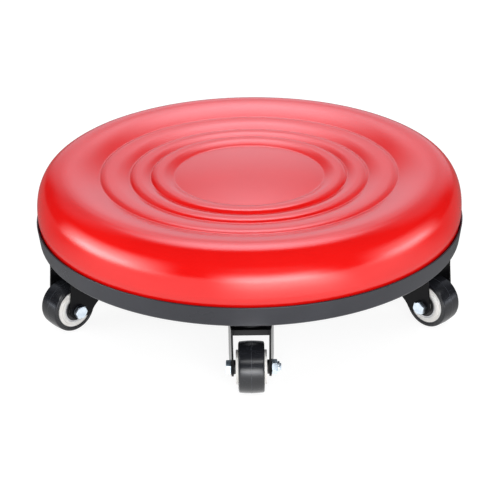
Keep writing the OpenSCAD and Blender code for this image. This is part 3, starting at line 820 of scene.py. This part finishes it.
def axle_place(caster):
    """A frame at the wheel's middle with its Z axis along the axle, towards the bolt's head."""
    joint = joints[caster + "_roll"]
    middle = Vector(joint["pos_m"])
    axis = Vector(joint["axis"]).normalized()
    low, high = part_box(caster + "_axle_bolt")
    if ((low + high) / 2 - middle).dot(axis) > 0:
        axis = -axis
    up = Vector((0, 0, 1))
    turn = Matrix((up.cross(axis), up, axis)).transposed().to_4x4()
    return Matrix.Translation(middle) @ turn


PLACES = {caster: axle_place(caster) for caster in CASTERS}
for caster, place in PLACES.items():
    print(caster, "axle at", [round(v / MM, 1) for v in place.translation])


# %% Arcs and mirrored sections
def arc(centre, radius, start, end, steps):
    """Points along an arc, in degrees, so that a turned edge is round."""
    angles = [math.radians(start + (end - start) * i / steps) for i in range(steps + 1)]
    return [(centre[0] + radius * math.cos(a), centre[1] + radius * math.sin(a)) for a in angles]


def mirrored_section(half_points):
    """A section that goes on as its own mirror image below Z = 0."""
    return half_points + [(r, -z) for r, z in reversed(half_points) if z > ON_AXIS]


print("an arc of 4 steps has", len(arc((0, 0), 1, 0, 90, 4)), "points")

# %% [markdown]
# ### Tyre
# The real tyre is moulded over its hub. Its mould closes in the middle of the tread and leaves a
# thin raised line all the way round, and its side has a step and a fine rib. A bump could fake
# these, but they catch the light at the outline, so they are drawn in the section.

# %% Section of the tyre, in millimetres, with the axle as Z
WHEEL_R, TYRE_HALF, HUB_R = 20.13, 9.8, 15.6
CROWN, SHOULDER, TREAD_STEPS, WHEEL_SEGMENTS = 0.5, 1.2, 14, 128
# The chamfer where tyre and hub meet, then the step: its foot has a fillet and its edge is round
BEAD_EDGE = 0.15
STEP_R, STEP_DEEP, STEP_FILLET = 16.9, 0.5, 0.3
STEP_EDGE, STEP_EDGE_OUT = 0.25, 0.45
# The rib on the side and the mould line on the tread, with their widths either side of the middle
RIB_R, RIB_HIGH, RIB_FOOT, RIB_TOP = 18.0, 0.18, 0.3, 0.12
SEAM_HALF, SEAM_HIGH = 0.3, 0.07

tread_r = WHEEL_R - CROWN
step_z, shoulder_z = TYRE_HALF - STEP_DEEP, TYRE_HALF - SHOULDER
tyre_half = ([(HUB_R, step_z - BEAD_EDGE), (HUB_R + BEAD_EDGE, step_z)]
             + arc((STEP_R - STEP_FILLET, step_z + STEP_FILLET), STEP_FILLET, -90, -20, 4)
             + arc((STEP_R + STEP_EDGE_OUT, TYRE_HALF - STEP_EDGE), STEP_EDGE, 160, 90, 4)
             + [(RIB_R - RIB_FOOT, TYRE_HALF), (RIB_R - RIB_TOP, TYRE_HALF + RIB_HIGH),
                (RIB_R + RIB_TOP, TYRE_HALF + RIB_HIGH), (RIB_R + RIB_FOOT, TYRE_HALF)]
             + arc((tread_r - SHOULDER, shoulder_z), SHOULDER, 90, 16, 8)
             + [(tread_r + CROWN * (1 - (z / shoulder_z) ** 2), z)
                for z in (shoulder_z * (1 - i / TREAD_STEPS) for i in range(1, TREAD_STEPS))
                if z > 2 * SEAM_HALF]
             + [(WHEEL_R, SEAM_HALF), (WHEEL_R + SEAM_HIGH, 0)])
tyre_section = mirrored_section(tyre_half) + [tyre_half[0]]
# The band of the mould line takes the lighter grey: a painted highlight along the raised line
seam_highlight = [int(max(p[0], q[0]) > WHEEL_R) for p, q in zip(tyre_section, tyre_section[1:])]
print("the tyre's section has", len(tyre_section), "points")

# %% Tyres on their wheels
tyre_mesh = lathe("tyre", tyre_section, WHEEL_SEGMENTS, ["tyre_rubber", "tyre_seam_highlight"], seam_highlight)
for caster in CASTERS:
    tyre = add_piece(caster + "_wheel_tyre", tyre_mesh, caster + "_wheel",
                     PLACES[caster])
    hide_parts(caster + "_tyre")
print("tyre has", len(tyre_mesh.polygons), "faces")

# %% [markdown]
# ### Hub
# The hub is nylon from a mould: a flat web with a fine groove near its rim, and a raised ring
# that holds the bearing. Its corners are rounded, as sharp ones would crack. Each of them is a
# short arc in the section, because they draw the only light lines on a plain cream disc.

# %% Section of the hub
RING_R, HUB_HALF, BORE_R, POCKET_R, POCKET_Z = 13.2, 11.8, 6.3, 11.0, 4.3
# The rim, which dips under the tyre, and the groove, as the radii of its four corners
RIM_DEEP, RIM_IN, RIM_EDGE, RIM_EDGE_IN = 0.7, 0.1, 0.35, 0.45
GROOVE_LINE, GROOVE_DEEP = (14.75, 14.65, 14.35, 14.25), 0.28
# Radii of the arcs at the ring's foot, at its edge and at the mouth of the bearing's pocket
RING_FOOT, RING_EDGE, POCKET_EDGE = 0.3, 0.5, 0.25

groove_z = TYRE_HALF - GROOVE_DEEP
hub_half = ([(HUB_R, TYRE_HALF - RIM_DEEP), (HUB_R - RIM_IN, TYRE_HALF - RIM_IN)]
            + arc((HUB_R - RIM_EDGE_IN, TYRE_HALF - RIM_EDGE), RIM_EDGE, 45, 90, 3)
            + list(zip(GROOVE_LINE, (TYRE_HALF, groove_z, groove_z, TYRE_HALF)))
            + arc((RING_R + RING_FOOT, TYRE_HALF + RING_FOOT), RING_FOOT, 270, 180, 4)
            + arc((RING_R - RING_EDGE, HUB_HALF - RING_EDGE), RING_EDGE, 0, 90, 6)
            + arc((POCKET_R + POCKET_EDGE, HUB_HALF - POCKET_EDGE), POCKET_EDGE, 90, 180, 4)
            + [(POCKET_R, POCKET_Z), (BORE_R, POCKET_Z)])
hub_section = mirrored_section(hub_half) + [hub_half[0]]
print("the hub's section has", len(hub_section), "points")

# %% Hubs on their wheels
hub_mesh = lathe("hub", hub_section, WHEEL_SEGMENTS, ["cream_plastic"])
for caster in CASTERS:
    hub = add_piece(caster + "_wheel_hub", hub_mesh, caster + "_wheel",
                    PLACES[caster])
    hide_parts(caster + "_hub")
print("hub has", len(hub_mesh.polygons), "faces")

# %% [markdown]
# ### Bearings
# Each hub holds two ball bearings. What shows of one is the chamfered face of its steel outer
# ring, and a dark shield that is pressed into the ring and stepped down towards the axle. The
# two are one turned mesh with two finishes, because they never move against each other.

# %% Section of a bearing
RACE_OUT, RACE_IN, SHIELD_IN, FACE_Z = 11.0, 9.6, 6.35, 11.3
RACE_CHAMFER, RACE_EDGE = 0.3, 0.2
# The shield's rolled edge, the two radii of its step, and its lip's width and height
SHIELD_ROLL, SHIELD_STEP, SHIELD_LIP = 0.3, (8.3, 8.0), (0.3, 0.15)
# How far its high part, its flat part and its back lie behind the face
SHIELD_TOP, SHIELD_FLAT, SHIELD_BACK = 0.15, 0.4, 0.95
STEEL_BAND, SHIELD_BAND = 0, 1


def bearing_ring():
    """One bearing as it shows beside the hub, and the finish of each band of it."""
    steel = [(RACE_IN, POCKET_Z), (RACE_OUT, POCKET_Z), (RACE_OUT, FACE_Z - RACE_CHAMFER),
             (RACE_OUT - RACE_CHAMFER, FACE_Z), (RACE_IN + RACE_EDGE, FACE_Z),
             (RACE_IN, FACE_Z - SHIELD_TOP)]
    shield = ([(RACE_IN, FACE_Z - RACE_CHAMFER)]
              + arc((RACE_IN - 2 * SHIELD_ROLL, FACE_Z - SHIELD_TOP - SHIELD_ROLL),
                    SHIELD_ROLL, 0, 90, 4)
              + [(SHIELD_STEP[0], FACE_Z - SHIELD_TOP), (SHIELD_STEP[1], FACE_Z - SHIELD_FLAT),
                 (SHIELD_IN + SHIELD_LIP[0], FACE_Z - SHIELD_FLAT),
                 (SHIELD_IN, FACE_Z - SHIELD_FLAT - SHIELD_LIP[1]),
                 (SHIELD_IN, FACE_Z - SHIELD_BACK), (RACE_IN, FACE_Z - SHIELD_BACK)])
    bands = [STEEL_BAND] * len(steel) + [SHIELD_BAND] * (len(shield) - 1) + [STEEL_BAND]
    return steel + shield + [(RACE_IN, POCKET_Z)], bands


ring_points, ring_bands = bearing_ring()
print("a bearing's section has", len(ring_points), "points")

# %% Bearings in their hubs
BEARING_SEGMENTS = 96

bearing_meshes = {
    side: lathe("bearing_" + side, [(r, z * flip) for r, z in ring_points], BEARING_SEGMENTS,
                ["bright_steel", "dark_plastic"], ring_bands)
    for side, flip in (("head", 1), ("nut", -1))}
for caster in CASTERS:
    for side, mesh in bearing_meshes.items():
        ring = add_piece(f"{caster}_bearing_{side}", mesh, caster + "_wheel",
                         PLACES[caster])
        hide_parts(caster + "_bearings")
print("bearing has", len(bearing_meshes["head"].polygons), "faces")

# %% [markdown]
# ## Bolts and nuts
# A cold-formed hexagon isn't a plain prism. Its face is turned, which rounds the six corners
# off into arcs. So each head is a stack of rings: the radius of a hexagon at every angle, and
# the height at which the turned cone cuts it. The thread is a ring of points whose radius
# follows the turn and the height together, which is all that a screw thread is.

# %% Round and hexagon rings, in millimetres
FLATS = 10.0
TURNED_ANGLE = 30
RING_POINTS = 96
ANGLES = [2 * math.pi * i / RING_POINTS for i in range(RING_POINTS)]


def hex_radius(angle):
    """Distance to the side of the hexagon, corners at 30, 90 and so on, in mm."""
    within = (angle + math.pi / 6) % (math.pi / 3) - math.pi / 6
    return FLATS / 2 / math.cos(within)


def round_ring(radius, z):
    return [(radius * math.cos(a), radius * math.sin(a), z) for a in ANGLES]


def hex_ring(z, inset=0.0):
    return [((hex_radius(a) - inset) * math.cos(a), (hex_radius(a) - inset) * math.sin(a), z)
            for a in ANGLES]


def turned_edge(face_z, outwards, face_r):
    """The wavy edge that a turned cone leaves on a hexagon whose face looks outwards, 1 or -1."""
    return [(hex_radius(a) * math.cos(a), hex_radius(a) * math.sin(a),
             face_z - outwards * (hex_radius(a) - face_r) * tangent(TURNED_ANGLE))
            for a in ANGLES]


print("a hexagon of", FLATS, "mm is", round(2 * hex_radius(math.pi / 6), 2), "mm over its corners")

# %% A mesh from rings
RING_SHARP = 32


def ring_mesh(name, rings, finishes, bands=None):
    """A mesh from rings of points that all have the same count. The ends are closed."""
    count = len(rings[0])
    verts = [point for ring in rings for point in ring]
    faces = [[k * count + i, k * count + (i + 1) % count,
              (k + 1) * count + (i + 1) % count, (k + 1) * count + i]
             for k in range(len(rings) - 1) for i in range(count)]
    indices = [bands[k] if bands else 0 for k in range(len(rings) - 1) for _ in range(count)]
    faces += [list(range(count)), list(range(len(verts) - count, len(verts)))]
    indices += [0, 0]
    mesh = bpy.data.meshes.new(name)
    mesh.from_pydata([tuple(c * MM for c in v) for v in verts], [], faces)
    for finish in finishes:
        mesh.materials.append(FINISH[finish])
    mesh.polygons.foreach_set("material_index", indices)
    finish_mesh(mesh, RING_SHARP)
    return mesh


print("rings have", RING_POINTS, "points")

# %% [markdown]
# ### Axle bolt
# An M6 bolt is pressed from wire: a hexagon head with a shallow dish in its face, a plain shank,
# and a rolled thread at the end that comes out of the nut. Only that end needs a thread, since
# the fork and the hub hide the rest.

# %% Rings of the axle bolt
SEAT_Z = 15.50
HEAD_H, FACE_R = 4.0, 4.75
HEAD_FOOT_IN, HEAD_FOOT_H = 0.25, 0.2
DISH_R, DISH_FLOOR_R, DISH_DEEP = 3.3, 3.05, 0.12
SHANK_R, TIP_Z, PITCH, THREAD_DEEP = 3.0, -22.70, 1.0, 0.28
# The thread is cut into layers, runs out at its end and tapers at the tip
THREAD_LONG, THREAD_END, LAYER = 3.2, 3.4, 0.1
TIP_LONG, TIP_SLOPE = 0.7, 0.9


def bolt_rings():
    face_z = SEAT_Z + HEAD_H
    head = [hex_ring(SEAT_Z, HEAD_FOOT_IN), hex_ring(SEAT_Z + HEAD_FOOT_H),
            turned_edge(face_z, 1, FACE_R), round_ring(FACE_R, face_z),
            round_ring(DISH_R, face_z), round_ring(DISH_FLOOR_R, face_z - DISH_DEEP)]
    thread = []
    z = TIP_Z
    while z < TIP_Z + THREAD_LONG:
        ring = []
        for a in ANGLES:
            phase = (z / PITCH - a / (2 * math.pi)) % 1
            groove = THREAD_DEEP * abs(2 * phase - 1)
            taper = max(0, TIP_LONG - (z - TIP_Z)) * TIP_SLOPE
            radius = min(SHANK_R - groove, SHANK_R - taper)
            ring.append((radius * math.cos(a), radius * math.sin(a), z))
        thread.append(ring)
        z += LAYER
    return thread + [round_ring(SHANK_R, TIP_Z + THREAD_END), round_ring(SHANK_R, SEAT_Z)] + head


print("the bolt has", len(bolt_rings()), "rings")

# %% Axle bolts in their forks
# Degrees by which each head stands turned, as no two bolts stop at the same angle
HEAD_TURN = {"front": 8, "left": 24, "right": -10, "rear_left": 15, "rear_right": 3}

bolt_mesh = ring_mesh("axle_bolt", bolt_rings(), ["zinc"])
for caster in CASTERS:
    turned = PLACES[caster] @ Matrix.Rotation(math.radians(HEAD_TURN[caster]), 4, "Z")
    bolt = add_piece(caster + "_bolt", bolt_mesh, caster + "_caster", turned)
    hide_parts(caster + "_axle_bolt")
print("bolt has", len(bolt_mesh.polygons), "faces")

# %% [markdown]
# ### Locking nut
# The nut at the other end has a round collar with a nylon ring in it, which grips the thread so
# that the axle can't shake loose. The collar is rolled in over the nylon. Its rounded lip is a
# list of five points, and the nylon is the one band that closes it towards the bore.

# %% Rings of the locking nut
NUT_H, NUT_FACE_R, BORE = 4.4, 4.6, 3.06
COLLAR_R, COLLAR_H, COLLAR_FOOT = 4.2, 1.6, 0.15
# How far each point of the lip lies inside the collar, and how far back from its end
COLLAR_LIP = ((0, 0.45), (0.15, 0.15), (0.45, 0), (0.75, 0.12), (0.8, 0.35))
NYLON_BACK = 0.3
ZINC_BAND, NYLON_BAND = 0, 1


def nut_rings():
    base, top = -SEAT_Z, -SEAT_Z - NUT_H
    end = top - COLLAR_H
    return ([round_ring(BORE, base), round_ring(FACE_R, base), turned_edge(base, 1, FACE_R),
             turned_edge(top, -1, NUT_FACE_R), round_ring(NUT_FACE_R, top),
             round_ring(COLLAR_R + COLLAR_FOOT, top), round_ring(COLLAR_R, top - COLLAR_FOOT)]
            + [round_ring(COLLAR_R - inside, end + back) for inside, back in COLLAR_LIP]
            + [round_ring(BORE, end + NYLON_BACK)])


nut_line = nut_rings()
nut_bands = [ZINC_BAND] * (len(nut_line) - 2) + [NYLON_BAND, ZINC_BAND]
print("the nut has", len(nut_line), "rings")

# %% Locking nuts on their bolts
NUT_TURN = 17

nut_mesh = ring_mesh("axle_nut", nut_line + nut_line[:1], ["zinc", "nylon"], nut_bands)
for caster in CASTERS:
    turn = math.radians(NUT_TURN + HEAD_TURN[caster])
    turned = PLACES[caster] @ Matrix.Rotation(turn, 4, "Z")
    nut = add_piece(caster + "_nut", nut_mesh, caster + "_caster", turned)
    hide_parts(caster + "_axle_nut")
print("nut has", len(nut_mesh.polygons), "faces")

# %% [markdown]
# ## Pressed steel
# The tray, the top plates and the forks keep their CAD meshes, because their shapes are right.
# Sheet steel never has a knife edge, though: the press rolls it over and the coat rounds it
# further. A narrow bevel on the sharp edges is enough to catch the thin light lines that make
# sheet look like sheet.

# %% Finishes and bevels for the CAD nodes that stay
KEPT = {"seat_board": "plywood", "seat_tray": "tray_paint", "tee_nuts": "zinc",
        "plate_screws": "zinc", "kingpins": "bright_steel"}
for caster in CASTERS:
    KEPT.update({caster + "_plate": "black_steel", caster + "_fork": "black_steel",
                 caster + "_race_balls": "ball_steel", caster + "_spacers": "dark_plastic",
                 caster + "_sleeve": "bright_steel"})
BEVELLED = {"_fork": 0.00035, "_plate": 0.0003}
BEVEL_SEGMENTS, BEVEL_ANGLE = 2, 50

for node, finish in KEPT.items():
    kept = frame["nodes"][node]
    kept.data.materials.clear()
    kept.data.materials.append(FINISH[finish])
    for ending, width in BEVELLED.items():
        if node.endswith(ending):
            bevel = kept.modifiers.new("edge", "BEVEL")
            bevel.width, bevel.segments = width, BEVEL_SEGMENTS
            bevel.limit_method, bevel.angle_limit = "ANGLE", math.radians(BEVEL_ANGLE)
            bevel.harden_normals = True
print("kept CAD nodes:", len(KEPT))
